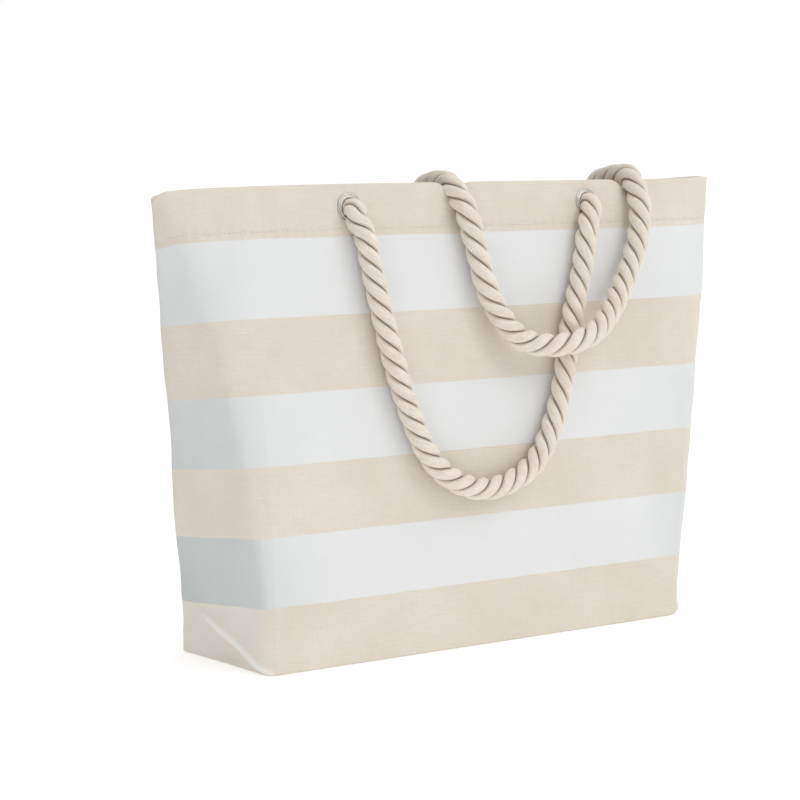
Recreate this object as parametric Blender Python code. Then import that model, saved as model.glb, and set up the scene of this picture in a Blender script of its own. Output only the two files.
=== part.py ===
"""Striped canvas beach bag with rope handles, at rest on its base.

Metres, +Z up. The origin is the centre of the base on the ground, +X runs along the front panel to
its right-hand side, and the front panel faces -Y. The rear handle is draped over the mouth and hangs
down the front, over the front handle, so the rear rope is built in hinged lengths.
"""

import math

import bmesh
import bpy
import numpy as np
from mathutils import Vector

# The sewn shell
BASE_WIDTH = 0.440
BASE_DEPTH = 0.118
MOUTH_WIDTH = 0.588
MOUTH_DEPTH = 0.052
HEIGHT = 0.370
FABRIC = 0.0010
GAP = 0.0003
WIDTH_CURVE = 1.45  # how late the sides flare on the way up
DEPTH_CURVE = 2.3  # how late the front and rear lean together
BASE_SQUARENESS = 30.0  # superellipse exponents: a box at the base, an eye at the mouth
MOUTH_SQUARENESS = 2.1
SQUARENESS_CURVE = 0.55

# How the soft shell sags
LEFT_DROOP = 0.014
DROOP_START = 0.08  # share of the height over which the droop sets in
REAR_SAG = 0.007
DENT_DEPTH = 0.011
DENT_WIDTH = 0.018
DENT_FADE = 30.0

# The hem and the seams
HEM_HEIGHT = 0.040
STITCH_HEIGHT = 0.0345  # down from the rim
STITCH_WIDTH = 0.0009
STITCH_THICKNESS = 0.0004
STITCH_GAP = 0.0006
SEAM_THICKNESS = 0.0008
CORNER_SEAM_HEIGHT = 0.008
CORNER_SEAM_LENGTH = 0.096
CORNER_SEAM_THICKNESS = 0.0014
SEAM_INSET = 0.002

# The eyelets
EYELET_X = 0.124
EYELET_DROP = 0.021
BARREL_BORE = 0.0080
BARREL_RADIUS = 0.0088
FLANGE_RADIUS = 0.0120
FLANGE_HEIGHT = 0.0016
WASHER_THICKNESS = 0.0008

# The rope
ROPE_RADIUS = 0.00875
STUB_RADIUS = 0.0072  # where the eyelet squeezes the rope
STUB_PROUD = 0.0015
KNOT_RADIUS = 0.017
KNOT_THICKNESS = 0.0225
ROPE_CLEARANCE = 0.0008
KNUCKLE_OFFSET = 0.0120  # from the panel's face to the front handle's axis
RIM_AXIS_RISE = 0.003  # the rear handle's two axes lie this far above the rim
RIM_AXIS_Y = 0.0355
SPAN_END_GAP = 0.0004
LEG_BEND_RADIUS = 0.024
LEG_RISE = 0.029
LEG_START = 0.0015
FRONT_EASE = 0.03  # how soon a hanging rope settles against the panel
CROSSING_X = 0.079
CROSSING_WIDTH = 0.055

# How each rope hangs, seen from the front: (x, z) between its two ends
FRONT_LOOP = (
    (-0.116, 0.282),
    (-0.097, 0.211),
    (-0.066, 0.152),
    (-0.016, 0.1285),
    (0.036, 0.143),
    (0.066, 0.188),
    (0.086, 0.254),
)
REAR_LOOP = (
    (-0.014, 0.324),
    (-0.003, 0.280),
    (0.022, 0.247),
    (0.059, 0.241),
    (0.105, 0.255),
    (0.146, 0.290),
    (0.169, 0.328),
)
REAR_BEND_X = (0.006, 0.194)  # where the rear rope turns over the rear rim
REAR_FOLD_X = (-0.025, 0.176)  # and where it turns down over the front rim

# How finely the shapes are cut
SEAM_COLUMNS = (GAP, 0.002, 0.004, 0.006)  # distances from a side seam
SIDE_START = 0.010
SIDE_COLUMNS = 4
FACE_COLUMNS = 34
FOLD_HALF_WIDTH = 0.006
LOOP_STEP = 0.015
SPAN_STEPS = 4
TURN_STEPS = 6
DOME_STEPS = 3
ROPE_SIDES = 12
TURN_SIDES = 20
KNOT_SIDES = 16
KNOT_STEPS = 7
CURVE_SAMPLES = 24
GIRTH_SAMPLES = 1201
CUTTER_REACH = 0.012
NORMAL_STEP = 0.004
SNUG = 0.0001

FRONT = -1
REAR = 1
LEFT = -1
RIGHT = 1
EYELET_HEIGHT = HEIGHT - EYELET_DROP
RIM_AXIS_Z = HEIGHT + RIM_AXIS_RISE
PANEL_ROWS = (
    FABRIC + GAP,
    0.014,
    0.052,
    0.106,
    0.160,
    0.214,
    0.271,
    HEIGHT - HEM_HEIGHT,
    EYELET_HEIGHT,
    HEIGHT,
)

COLOURS = {
    "natural_canvas": ((0.76, 0.70, 0.60), 0.92, 0.0),
    "lining_tape": ((0.70, 0.64, 0.54), 0.92, 0.0),
    "thread": ((0.84, 0.80, 0.72), 0.70, 0.0),
    "nickel": ((0.62, 0.61, 0.58), 0.28, 1.0),
    "cotton_rope": ((0.80, 0.72, 0.60), 0.95, 0.0),
}


def clear_scene():
    for item in list(bpy.data.objects):
        bpy.data.objects.remove(item, do_unlink=True)


def material(name):
    found = bpy.data.materials.get(name)
    if found:
        return found
    colour, roughness, metallic = COLOURS[name]
    made = bpy.data.materials.new(name)
    made.use_nodes = True
    shader = made.node_tree.nodes["Principled BSDF"]
    shader.inputs["Base Color"].default_value = (*colour, 1.0)
    shader.inputs["Roughness"].default_value = roughness
    shader.inputs["Metallic"].default_value = metallic
    made.diffuse_color = (*colour, 1.0)
    return made


def add_object(name, mesh, finish, parent=None, smooth_angle=40.0):
    item = bpy.data.objects.new(name, mesh)
    bpy.context.scene.collection.objects.link(item)
    if not mesh.materials:
        mesh.materials.append(material(finish))
    mesh.shade_smooth()
    mesh.set_sharp_from_angle(angle=math.radians(smooth_angle))
    item.parent = parent
    return item


def mesh_from(name, vertices, faces):
    mesh = bpy.data.meshes.new(name)
    mesh.from_pydata([tuple(v) for v in vertices], [], faces)
    mesh.validate()
    shape = bmesh.new()
    shape.from_mesh(mesh)
    bmesh.ops.recalc_face_normals(shape, faces=shape.faces)
    shape.to_mesh(mesh)
    shape.free()
    return mesh


# ---------------------------------------------------------------- the shell's surface


def section(height):
    """Half width, half depth and squareness of the shell's outline at this height."""
    share = max(height, 0.0) / HEIGHT
    half_width = BASE_WIDTH / 2 + (MOUTH_WIDTH - BASE_WIDTH) / 2 * share**WIDTH_CURVE
    half_depth = BASE_DEPTH / 2 + (MOUTH_DEPTH - BASE_DEPTH) / 2 * share**DEPTH_CURVE
    fade = share**SQUARENESS_CURVE
    squareness = BASE_SQUARENESS + (MOUTH_SQUARENESS - BASE_SQUARENESS) * fade
    return half_width, half_depth, squareness


def outline(bearing, height, inset):
    """Points of the outline at these bearings from the centre, inset from its outer face."""
    half_width, half_depth, squareness = section(height)
    half_width -= inset
    half_depth -= inset
    reach = (
        np.abs(np.cos(bearing) / half_width) ** squareness
        + np.abs(np.sin(bearing) / half_depth) ** squareness
    ) ** (-1 / squareness)
    return reach * np.cos(bearing), reach * np.sin(bearing)


def face_y(x, height, side):
    """Where the outer face of the front or rear panel is at this x."""
    half_width, half_depth, squareness = section(height)
    share = min(abs(x) / half_width, 1.0)
    return side * half_depth * (1 - share**squareness) ** (1 / squareness)


def half_girth_bearings(height, distances, side):
    """Bearings on the outline, at these distances along the fabric from the left side seam."""
    dense = np.linspace(math.pi, math.pi - side * math.pi, GIRTH_SAMPLES)
    x, y = outline(dense, height, 0.0)
    run = np.concatenate([[0.0], np.cumsum(np.hypot(np.diff(x), np.diff(y)))])
    return np.interp(distances, run, dense)


def half_girth(height):
    dense = np.linspace(math.pi, 2 * math.pi, GIRTH_SAMPLES)
    x, y = outline(dense, height, 0.0)
    return float(np.hypot(np.diff(x), np.diff(y)).sum())


def rim_dents(side):
    """The x at which each leg of the rear rope crosses this rim."""
    found = []
    for near, far in zip(REAR_FOLD_X, REAR_BEND_X):
        rim_y = face_y((near + far) / 2, HEIGHT, side)
        share = (rim_y + RIM_AXIS_Y) / (2 * RIM_AXIS_Y)
        found.append(near + (far - near) * share)
    return found


def lowered(x, y, height):
    """Heights of wall points after the sag at the left, along the rear rim and under the rope."""
    half_width, half_depth, _ = section(height)
    share = height / HEIGHT
    across = np.clip(x / half_width, -1.0, 1.0)
    back = 0.5 + 0.5 * np.clip(y / half_depth, -1.0, 1.0)
    above_base = max(height - PANEL_ROWS[0], 0.0) / HEIGHT
    set_in = 1 - math.exp(-above_base / DROOP_START)
    drop = LEFT_DROOP * np.clip(-across, 0.0, 1.0) ** 4 * back * set_in
    drop = drop + REAR_SAG * back * (1 - across**4) * share**3
    for side in (FRONT, REAR):
        nearness = np.clip(side * y / half_depth, 0.0, 1.0)
        for dent_x in rim_dents(side):
            bump = np.exp(-(((x - dent_x) / DENT_WIDTH) ** 2))
            drop = drop + DENT_DEPTH * bump * nearness * share**DENT_FADE
    return height - drop


# ---------------------------------------------------------------- sewn pieces


def closed_sheet(name, rows, insets, locate, finish, from_middle=False):
    """A closed sheet between two layers of one grid; locate(height, inset) gives a row's x, y, z.

    Each quad's diagonal climbs away from the nearest side seam, so that neighbouring sheets nest.
    A strip that has the seam in its middle says from_middle.
    """
    vertices = []
    for inset in insets:
        for height in rows:
            vertices.extend(zip(*locate(height, inset)))
    layer = len(vertices) // 2
    columns = layer // len(rows)
    faces = []
    for row in range(len(rows) - 1):
        for column in range(columns - 1):
            corner = row * columns + column
            below = (corner, corner + 1)
            above = (corner + columns, corner + columns + 1)
            if (column < (columns - 1) / 2) != from_middle:
                pair = ((*below, above[1]), (below[0], above[1], above[0]))
            else:
                pair = ((*below, above[0]), (below[1], above[1], above[0]))
            for triangle in pair:
                faces.append(triangle)
                faces.append(tuple(layer + index for index in reversed(triangle)))
    border = list(range(columns))
    border += [row * columns + columns - 1 for row in range(1, len(rows))]
    border += [layer - 1 - step for step in range(1, columns)]
    border += [row * columns for row in range(len(rows) - 2, 0, -1)]
    for here, there in zip(border, border[1:] + border[:1]):
        faces.append((there, here, layer + here, layer + there))
    return add_object(name, mesh_from(name, vertices, faces), finish)


def column_distances(height):
    """Columns along a half girth: close at the seams and at the folds over the base corners."""
    length = half_girth(height)
    base_length = half_girth(0.0)
    fold = (BASE_DEPTH / 2) / base_length
    near = FOLD_HALF_WIDTH / base_length
    side = np.linspace(SIDE_START / base_length, fold - near, SIDE_COLUMNS)
    face = np.linspace(fold + near, 1 - fold - near, FACE_COLUMNS)
    middle = np.concatenate([side, [fold], face, [1 - fold], 1 - side[::-1]]) * length
    seam = np.array(SEAM_COLUMNS)
    return np.concatenate([seam, middle, length - seam[::-1]])


def wall_patch(name, side, rows, insets, skip, finish):
    """A sheet along the front or rear half of the shell, without skip columns at either end."""

    def locate(height, inset):
        distances = column_distances(height)
        distances = distances[skip : len(distances) - skip]
        x, y = outline(half_girth_bearings(height, distances, side), height, inset)
        return x, y, lowered(x, y, height)

    return closed_sheet(name, rows, insets, locate, finish)


def seam_strip(name, end):
    """The folded allowance inside one side seam, from the corner seam up to the rim."""

    def locate(height, inset):
        near = np.array(SEAM_COLUMNS)
        distances = near if end == LEFT else half_girth(height) - near
        front = half_girth_bearings(height, distances[::-1], FRONT)
        rear = half_girth_bearings(height, distances, REAR)
        x, y = outline(np.concatenate([front, rear]), height, inset)
        return x, y, lowered(x, y, height)

    insets = (FABRIC + GAP, FABRIC + GAP + SEAM_THICKNESS)
    return closed_sheet(name, PANEL_ROWS[1:], insets, locate, "lining_tape", from_middle=True)


def base_panel():
    distances = column_distances(0.0)
    distances[0] = 0.0
    distances[-1] = half_girth(0.0)
    front = outline(half_girth_bearings(0.0, distances, FRONT), 0.0, 0.0)
    rear = outline(half_girth_bearings(0.0, distances, REAR), 0.0, 0.0)
    x = np.concatenate([front[0], rear[0][-2:0:-1]])
    y = np.concatenate([front[1], rear[1][-2:0:-1]])
    count = len(x)
    vertices = [(px, py, 0.0) for px, py in zip(x, y)]
    vertices += [(px, py, FABRIC) for px, py in zip(x, y)]
    faces = [tuple(range(count - 1, -1, -1)), tuple(range(count, 2 * count))]
    for here in range(count):
        there = (here + 1) % count
        faces.append((here, there, count + there, count + here))
    return add_object("base_panel", mesh_from("base_panel", vertices, faces), "natural_canvas")


def corner_seam(name, end):
    """The boxed corner's seam allowance: a low fin across the base, inside one end."""
    shape = bmesh.new()
    bmesh.ops.create_cube(shape, size=1.0)
    size = (CORNER_SEAM_THICKNESS, CORNER_SEAM_LENGTH, CORNER_SEAM_HEIGHT)
    bmesh.ops.scale(shape, vec=size, verts=shape.verts)
    upright = [edge for edge in shape.edges if abs(edge.verts[0].co.z - edge.verts[1].co.z) > 0]
    bmesh.ops.bevel(shape, geom=upright, offset=FABRIC / 2, segments=2, affect="EDGES")
    mesh = bpy.data.meshes.new(name)
    shape.to_mesh(mesh)
    shape.free()
    item = add_object(name, mesh, "lining_tape")
    reach = BASE_WIDTH / 2 - FABRIC - GAP - SEAM_INSET
    item.location = (end * reach, 0.0, FABRIC + GAP + CORNER_SEAM_HEIGHT / 2)
    return item


# ---------------------------------------------------------------- eyelets


def eyelet_place(side, end):
    """Centre on the panel's outer face, and the outward normal there."""
    step = NORMAL_STEP
    x = end * EYELET_X
    here = Vector((x, face_y(x, EYELET_HEIGHT, side), EYELET_HEIGHT))
    along = face_y(x + step, EYELET_HEIGHT, side) - face_y(x - step, EYELET_HEIGHT, side)
    up = face_y(x, EYELET_HEIGHT + step, side) - face_y(x, EYELET_HEIGHT - step, side)
    across = Vector((2 * step, along, 0.0))
    upward = Vector((0.0, up, 2 * step))
    normal = across.cross(upward).normalized()
    if normal.y * side < 0:
        normal.negate()
    point = np.array([here.x]), np.array([here.y])
    here.z = float(lowered(*point, EYELET_HEIGHT)[0])
    return here, normal


def turned(name, profile, sides=TURN_SIDES):
    """A body of revolution about +Z; the profile's (radius, height) corners form a closed outline."""
    vertices = []
    rings = []
    for radius, height in profile:
        if radius == 0:
            rings.append([len(vertices)] * sides)
            vertices.append((0.0, 0.0, height))
            continue
        rings.append([len(vertices) + step for step in range(sides)])
        for step in range(sides):
            angle = 2 * math.pi * step / sides
            vertices.append((radius * math.cos(angle), radius * math.sin(angle), height))
    faces = []
    open_profile = profile[0][0] == 0
    pairs = list(zip(rings, rings[1:]))
    if not open_profile:
        pairs.append((rings[-1], rings[0]))
    for lower, upper in pairs:
        for step in range(sides):
            after = (step + 1) % sides
            corners = (lower[step], lower[after], upper[after], upper[step])
            faces.append(tuple(dict.fromkeys(corners)))
    return mesh_from(name, vertices, faces)


def stand_on_panel(item, side, end):
    point, normal = eyelet_place(side, end)
    item.location = point
    item.rotation_mode = "QUATERNION"
    item.rotation_quaternion = normal.to_track_quat("Z", "X")
    return item


def eyelet_mesh():
    """Flange with a rolled lip outside the panel, and a barrel through to the washer."""
    foot = -(2 * FABRIC + 3 * GAP + WASHER_THICKNESS)
    lift = GAP + SNUG
    profile = (
        (BARREL_BORE, foot),
        (BARREL_RADIUS, foot),
        (BARREL_RADIUS, lift),
        (FLANGE_RADIUS, lift),
        (FLANGE_RADIUS, lift + FLANGE_HEIGHT / 3),
        (FLANGE_RADIUS - FLANGE_HEIGHT / 2, FLANGE_HEIGHT),
        (BARREL_BORE + FLANGE_HEIGHT / 2, FLANGE_HEIGHT),
        (BARREL_BORE, FLANGE_HEIGHT / 2),
    )
    return turned("eyelet", profile)


def washer_mesh():
    top = -(2 * FABRIC + 3 * GAP)
    profile = (
        (BARREL_RADIUS + GAP, top - WASHER_THICKNESS),
        (FLANGE_RADIUS, top - WASHER_THICKNESS),
        (FLANGE_RADIUS, top),
        (BARREL_RADIUS + GAP, top),
    )
    return turned("eyelet_washer", profile)


def knot_mesh():
    """The stopper knot inside the bag, with the squeezed rope that runs out through the eyelet."""
    top = -(2 * FABRIC + 5 * GAP + WASHER_THICKNESS)
    middle = top - KNOT_THICKNESS / 2
    profile = [(0.0, middle - KNOT_THICKNESS / 2)]
    for step in range(1, KNOT_STEPS):
        angle = -math.pi / 2 + math.pi * step / KNOT_STEPS
        radius = KNOT_RADIUS * math.cos(angle)
        height = middle + KNOT_THICKNESS / 2 * math.sin(angle)
        profile.append((radius, height))
    profile.append((STUB_RADIUS, top))
    profile.append((STUB_RADIUS, STUB_PROUD))
    profile.append((0.0, STUB_PROUD))
    return turned("rope_knot", profile, KNOT_SIDES)


def cut_eyelet_holes(item, side):
    """Open the sheet for both barrels on this side."""
    for end in (LEFT, RIGHT):
        name = "hole_" + CORNER_NAMES[side, end]
        cutter = bpy.data.objects.get(name)
        if cutter is None:
            radius = BARREL_RADIUS + GAP
            corners = ((0.0, -1), (radius, -1), (radius, 1), (0.0, 1))
            profile = [(away, along * CUTTER_REACH) for away, along in corners]
            cutter = add_object(name, turned(name, profile), "nickel")
            stand_on_panel(cutter, side, end)
            cutter.hide_render = True
            cutter.display_type = "WIRE"
        cut = item.modifiers.new(name, "BOOLEAN")
        cut.operation = "DIFFERENCE"
        cut.solver = "EXACT"
        cut.object = cutter


# ---------------------------------------------------------------- rope


def smooth_path(points, step):
    """A Catmull-Rom curve through the points, resampled at about equal steps."""
    knots = [Vector(p) for p in points]
    knots = [2 * knots[0] - knots[1]] + knots + [2 * knots[-1] - knots[-2]]
    dense = []
    for before, start, end, after in zip(knots, knots[1:], knots[2:], knots[3:]):
        for count in range(CURVE_SAMPLES):
            t = count / CURVE_SAMPLES
            a = 2 * start
            b = (end - before) * t
            c = (2 * before - 5 * start + 4 * end - after) * t * t
            d = (3 * start - before - 3 * end + after) * t**3
            dense.append((a + b + c + d) / 2)
    dense.append(knots[-2])
    run = [0.0]
    for here, there in zip(dense, dense[1:]):
        run.append(run[-1] + (there - here).length)
    count = max(2, round(run[-1] / step) + 1)
    wanted = np.linspace(0, run[-1], count)
    table = np.array([tuple(p) for p in dense])
    columns = [np.interp(wanted, run, table[:, axis]) for axis in range(table.shape[1])]
    return [Vector(p) for p in zip(*columns)]


def rope(name, path, domed, parent, origin=Vector((0, 0, 0))):
    """A round rope along the path; domed says which of its two ends is a half ball."""
    stations = []
    last = len(path) - 1
    for index, point in enumerate(path):
        ahead = path[min(index + 1, last)] - path[max(index - 1, 0)]
        stations.append((point, ahead.normalized(), ROPE_RADIUS))
    dome = []
    for step in range(DOME_STEPS, 0, -1):
        angle = math.pi / 2 * step / (DOME_STEPS + 0.5)
        dome.append((ROPE_RADIUS * math.sin(angle), ROPE_RADIUS * math.cos(angle)))
    if domed[0]:
        point, ahead, _ = stations[0]
        stations = [(point - ahead * back, ahead, radius) for back, radius in dome] + stations
    if domed[1]:
        point, ahead, _ = stations[-1]
        stations += [(point + ahead * on, ahead, radius) for on, radius in reversed(dome)]
    side = stations[0][1].orthogonal().normalized()
    vertices = []
    for point, ahead, radius in stations:
        side = (side - ahead * side.dot(ahead)).normalized()
        other = ahead.cross(side)
        for step in range(ROPE_SIDES):
            angle = 2 * math.pi * step / ROPE_SIDES
            ring = side * math.cos(angle) + other * math.sin(angle)
            vertices.append(point + ring * radius - origin)
    faces = []
    for ring in range(len(stations) - 1):
        for step in range(ROPE_SIDES):
            after = (step + 1) % ROPE_SIDES
            base = ring * ROPE_SIDES
            faces.append(
                (base + step, base + after, base + ROPE_SIDES + after, base + ROPE_SIDES + step)
            )
    end = (len(stations) - 1) * ROPE_SIDES
    faces.append(tuple(reversed(range(ROPE_SIDES))))
    faces.append(tuple(range(end, end + ROPE_SIDES)))
    return add_object(name, mesh_from(name, vertices, faces), "cotton_rope", parent)


def hanging_path(loop, axis_y, crossing):
    """A loop of (x, z) laid against the front panel, its ends on the axis at axis_y."""
    flat = smooth_path([(x, 0.0, z) for x, z in loop], LOOP_STEP)
    rest = ROPE_RADIUS + ROPE_CLEARANCE
    top = loop[0][1]
    for point in flat:
        drop = max(top - point.z, 0.0)
        face = face_y(point.x, min(point.z, HEIGHT), FRONT)
        end_x = loop[0][0] if point.x < (loop[0][0] + loop[-1][0]) / 2 else loop[-1][0]
        stand_off = face_y(end_x, min(top, HEIGHT), FRONT) - axis_y - rest
        lift = stand_off * math.exp(-drop / FRONT_EASE)
        if crossing:
            nearness = math.exp(-(((point.x - CROSSING_X) / CROSSING_WIDTH) ** 2))
            settled = 1 - math.exp(-drop / FRONT_EASE)
            lift += (2 * ROPE_RADIUS + ROPE_CLEARANCE) * nearness * settled
        point.y = face - rest - lift
    flat[0].y = axis_y
    flat[-1].y = axis_y
    return flat


def pivot(name, location):
    """An empty whose own X axis is the hinge line."""
    item = bpy.data.objects.new(name, None)
    item.location = location
    item.empty_display_size = 0.03
    bpy.context.scene.collection.objects.link(item)
    return item


def rear_face(x, z):
    """The rear panel's outer face at this true height, allowing for its sag."""
    return face_y(x, min(z + REAR_SAG, HEIGHT), REAR)


def rear_leg_path(end):
    """Out of the rear eyelet, along the panel to the right, and up to the bend over the rim."""
    point, normal = eyelet_place(REAR, end)
    bend_x = REAR_BEND_X[0 if end == LEFT else 1]
    rest = ROPE_RADIUS + ROPE_CLEARANCE
    turn_radius = ROPE_RADIUS + FLANGE_HEIGHT
    start = point + normal * (STUB_PROUD + SPAN_END_GAP)
    sideways = Vector((1, 0, 0))
    sideways = (sideways - normal * sideways.dot(normal)).normalized()
    path = [start]
    start = start + normal * LEG_START
    centre = start + sideways * turn_radius
    for angle in np.linspace(0, math.pi / 2, TURN_STEPS + 1):
        turn = normal * math.sin(angle) - sideways * math.cos(angle)
        path.append(centre + turn * turn_radius)
    corner = path[-1].copy()
    foot_x = bend_x - LEG_BEND_RADIUS
    foot_z = RIM_AXIS_Z - LEG_RISE
    top_z = RIM_AXIS_Z - ROPE_RADIUS - 2 * SPAN_END_GAP
    steps = max(2, round((foot_x - corner.x) / LOOP_STEP))
    stand_off = turn_radius + STUB_PROUD + SPAN_END_GAP + LEG_START - rest
    for share in np.linspace(0, 1, steps + 1)[1:]:
        x = corner.x + (foot_x - corner.x) * share
        z = corner.z + (foot_z - corner.z) * share
        ease = stand_off * math.exp(-(x - corner.x) / FRONT_EASE)
        path.append(Vector((x, rear_face(x, z) + rest + ease, z)))
    for angle in np.linspace(0, math.pi / 2, TURN_STEPS)[1:]:
        x = bend_x - LEG_BEND_RADIUS * (1 - math.sin(angle))
        z = foot_z + (top_z - LEG_START - foot_z) * (1 - math.cos(angle))
        against = rear_face(x, z) + rest
        settled = 1 - math.cos(angle)
        path.append(Vector((x, against + (RIM_AXIS_Y - against) * settled, z)))
    path.append(Vector((bend_x, RIM_AXIS_Y, top_z)))
    return path


# ---------------------------------------------------------------- the bag


CORNER_NAMES = {
    (FRONT, LEFT): "front_left",
    (FRONT, RIGHT): "front_right",
    (REAR, LEFT): "rear_left",
    (REAR, RIGHT): "rear_right",
}
SIDE_NAMES = {FRONT: "front", REAR: "rear"}
END_NAMES = {LEFT: "left", RIGHT: "right"}


def build_shell():
    base_panel()
    stitch_rows = (
        HEIGHT - STITCH_HEIGHT - STITCH_WIDTH / 2,
        HEIGHT - STITCH_HEIGHT + STITCH_WIDTH / 2,
    )
    stitch_insets = (-STITCH_GAP - STITCH_THICKNESS, -STITCH_GAP)
    for side, label in SIDE_NAMES.items():
        panel = wall_patch(
            label + "_panel", side, PANEL_ROWS, (0.0, FABRIC), 0, "natural_canvas"
        )
        cut_eyelet_holes(panel, side)
        facing = wall_patch(
            label + "_hem_facing",
            side,
            PANEL_ROWS[-3:],
            (FABRIC + GAP, 2 * FABRIC + GAP),
            len(SEAM_COLUMNS),
            "natural_canvas",
        )
        cut_eyelet_holes(facing, side)
        wall_patch(
            label + "_hem_stitching", side, stitch_rows, stitch_insets, len(SEAM_COLUMNS), "thread"
        )
    for end, label in END_NAMES.items():
        seam_strip(label + "_side_seam", end)
        corner_seam(label + "_corner_seam", end)


def build_eyelets():
    eyelet = eyelet_mesh()
    washer = washer_mesh()
    knot = knot_mesh()
    for (side, end), label in CORNER_NAMES.items():
        stand_on_panel(add_object(label + "_eyelet", eyelet, "nickel"), side, end)
        stand_on_panel(add_object(label + "_washer", washer, "nickel"), side, end)
        stand_on_panel(add_object(label + "_knot", knot, "cotton_rope"), side, end)


def build_front_handle():
    point, normal = eyelet_place(FRONT, LEFT)
    knuckle = point + normal * KNUCKLE_OFFSET
    axis = pivot("front_handle_axis", (0.0, knuckle.y, knuckle.z))
    loop = [(knuckle.x, knuckle.z), *FRONT_LOOP, (-knuckle.x, knuckle.z)]
    path = hanging_path(loop, knuckle.y, crossing=False)
    rope("front_handle", path, (True, True), axis, axis.location)


def build_rear_handle():
    rear_axis = Vector((0.0, RIM_AXIS_Y, RIM_AXIS_Z))
    front_axis = Vector((0.0, -RIM_AXIS_Y, RIM_AXIS_Z))
    span_pivot = pivot("rear_span_axis", rear_axis)
    loop_pivot = pivot("rear_loop_axis", front_axis - rear_axis)
    loop_pivot.parent = span_pivot
    for end, bend_x, fold_x in zip((LEFT, RIGHT), REAR_BEND_X, REAR_FOLD_X):
        label = "rear_handle_" + END_NAMES[end]
        bend = rear_axis + Vector((bend_x, 0.0, 0.0))
        fold = front_axis + Vector((fold_x, 0.0, 0.0))
        finish = fold - (fold - bend).normalized() * (ROPE_RADIUS + SPAN_END_GAP)
        span = [bend.lerp(finish, step / SPAN_STEPS) for step in range(SPAN_STEPS + 1)]
        rope(label + "_span", span, (True, False), span_pivot, rear_axis)
        rope(label + "_leg", rear_leg_path(end), (False, False), None)
    loop = [(REAR_FOLD_X[0], RIM_AXIS_Z), *REAR_LOOP, (REAR_FOLD_X[1], RIM_AXIS_Z)]
    path = hanging_path(loop, front_axis.y, crossing=True)
    rope("rear_handle_loop", path, (True, True), loop_pivot, front_axis)


clear_scene()
build_shell()
build_eyelets()
build_front_handle()
build_rear_handle()
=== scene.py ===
"""Looks of the striped canvas beach bag: sewn canvas, laid cotton rope, nickel eyelets.

Metres, in the frame's own axes: +Z up, the front panel faces -Y, the base rests on z = 0.
"""

import math

import bmesh
import bpy
import numpy as np
from mathutils import Matrix, Vector


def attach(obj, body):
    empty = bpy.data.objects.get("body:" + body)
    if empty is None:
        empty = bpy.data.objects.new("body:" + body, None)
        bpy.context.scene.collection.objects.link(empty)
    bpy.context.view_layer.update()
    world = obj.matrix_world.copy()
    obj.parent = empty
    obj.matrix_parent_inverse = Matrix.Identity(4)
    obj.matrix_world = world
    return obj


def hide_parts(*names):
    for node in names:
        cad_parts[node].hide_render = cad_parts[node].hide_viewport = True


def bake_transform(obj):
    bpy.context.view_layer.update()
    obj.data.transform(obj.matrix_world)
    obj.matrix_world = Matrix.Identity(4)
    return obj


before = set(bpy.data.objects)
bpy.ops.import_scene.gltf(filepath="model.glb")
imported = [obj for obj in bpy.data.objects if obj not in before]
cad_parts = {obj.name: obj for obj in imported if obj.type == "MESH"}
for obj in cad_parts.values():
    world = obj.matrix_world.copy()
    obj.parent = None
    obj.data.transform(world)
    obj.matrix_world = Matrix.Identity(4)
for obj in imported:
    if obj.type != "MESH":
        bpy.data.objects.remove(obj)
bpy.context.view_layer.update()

FRONT = -1
REAR = 1
LEFT = -1
RIGHT = 1
CORNERS = {
    (FRONT, LEFT): "front_left",
    (FRONT, RIGHT): "front_right",
    (REAR, LEFT): "rear_left",
    (REAR, RIGHT): "rear_right",
}

# The sewn shell, as in the CAD part
BASE_WIDTH = 0.440
BASE_DEPTH = 0.118
MOUTH_WIDTH = 0.588
MOUTH_DEPTH = 0.052
HEIGHT = 0.370
FABRIC = 0.0010
WIDTH_CURVE = 1.45
DEPTH_CURVE = 2.3
BASE_SQUARENESS = 30.0
MOUTH_SQUARENESS = 2.1
SQUARENESS_CURVE = 0.55
HEM_HEIGHT = 0.040
STITCH_HEIGHT = 0.0345

# How the rim sags: at the left and rear, under the rear rope's four bends, and at the side seams
LEFT_DROOP = 0.014
DROOP_START = 0.08
REAR_SAG = 0.007
DENT_DEPTHS = {(FRONT, 0): 0.0080, (FRONT, 1): 0.0090, (REAR, 0): 0.0065, (REAR, 1): 0.0055}
DENT_SHIFTS = {(FRONT, 1): -0.0040}
DENT_WIDTH = 0.0100
RIM_FADE = 22.0
CORNER_DROPS = {LEFT: 0.0078, RIGHT: 0.0025}
CORNER_ROUND = 0.012

# Eyelets
EYELET_X = 0.124
EYELET_HEIGHT = HEIGHT - 0.021
EYELET_SHIFTS = {(FRONT, LEFT): (-0.0045, 0.0018), (FRONT, RIGHT): (-0.0010, 0.0022)}
BARREL_BORE = 0.0080
BARREL_RADIUS = 0.0088
FLANGE_RADIUS = 0.0123
WASHER_TOP = -0.0029

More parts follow.
